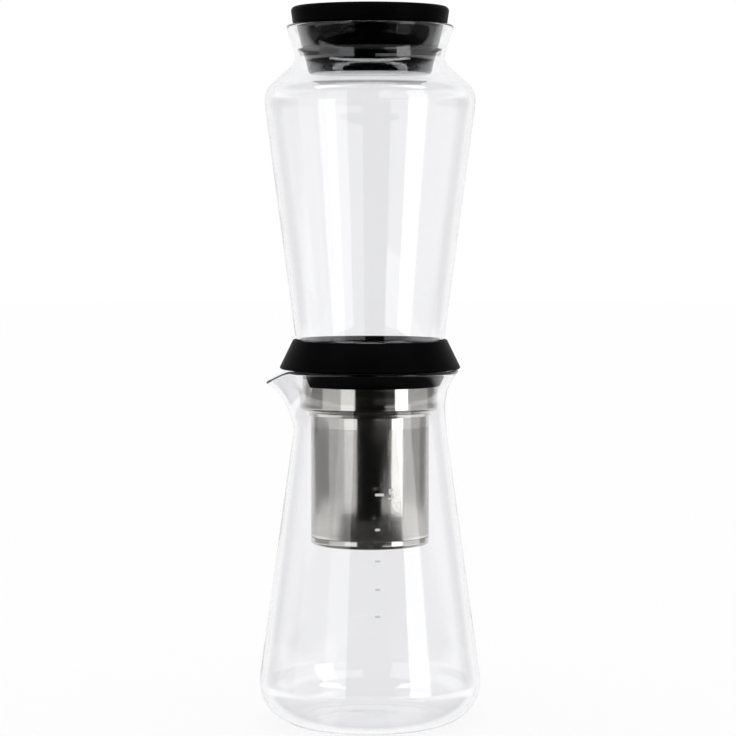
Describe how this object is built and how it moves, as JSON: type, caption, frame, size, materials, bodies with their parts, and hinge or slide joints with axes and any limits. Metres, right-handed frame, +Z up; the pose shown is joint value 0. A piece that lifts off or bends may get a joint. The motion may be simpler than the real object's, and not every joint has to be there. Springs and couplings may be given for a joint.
{
  "type": "cold brew coffee maker",
  "caption": "Slow-drip coffee maker: a glass water bowl stands in a black collar on a conical glass server with a pouring lip, and a steel strainer hangs from the collar into the server.",
  "frame": {"origin": "middle of the server's base, on the surface that it stands on", "axes": "+Z up along the common axis of all round pieces; the pouring lip points to -X"},
  "size_m": [0.1204, 0.1204, 0.3875],
  "materials": {
    "server_glass": "clear, fire polished",
    "bowl_glass": "clear, fire polished",
    "collar_plastic": "satin black, moulded",
    "lid_plastic": "satin black, moulded",
    "plug_plastic": "gloss black, moulded",
    "black_silicone": "matte black silicone",
    "clear_silicone": "milky clear silicone",
    "polished_steel": "polished stainless",
    "steel_mesh": "fine etched mesh, satin stainless"
  },
  "bodies": {
    "server": {"server_glass": "server_glass"},
    "collar": {"collar_shell": "collar_plastic", "lip_seal": "clear_silicone", "collar_seat": "collar_plastic", "collar_plug_ring": "collar_plastic", "bowl_gasket": "black_silicone", "strainer_seal": "clear_silicone"},
    "strainer": {"strainer_band": "polished_steel", "strainer_wall": "steel_mesh", "strainer_foot": "polished_steel", "strainer_floor": "steel_mesh"},
    "spreader": {"drip_spreader": "polished_steel"},
    "bowl": {"upper_bowl": "bowl_glass"},
    "drip_valve": {"drip_grommet": "black_silicone", "drip_nozzle": "polished_steel", "nozzle_screen": "steel_mesh"},
    "lid": {"lid_cap": "lid_plastic", "lid_plug": "plug_plastic", "lid_gasket": "black_silicone"}
  },
  "joints": [
    {"name": "collar_lift", "type": "slide", "parent": "server", "child": "collar", "axis": [0, 0, 1], "range_m": [0, 0.15]},
    {"name": "strainer_pull", "type": "slide", "parent": "collar", "child": "strainer", "axis": [0, 0, -1], "range_m": [0, 0.025]},
    {"name": "spreader_lift", "type": "slide", "parent": "strainer", "child": "spreader", "axis": [0, 0, 1], "range_m": [0, 0.0165]},
    {"name": "bowl_lift", "type": "slide", "parent": "collar", "child": "bowl", "axis": [0, 0, 1], "range_m": [0, 0.03]},
    {"name": "valve_lift", "type": "slide", "parent": "bowl", "child": "drip_valve", "axis": [0, 0, 1], "range_m": [0, 0.02]},
    {"name": "lid_lift", "type": "slide", "parent": "bowl", "child": "lid", "axis": [0, 0, 1], "range_m": [0, 0.06]}
  ]
}
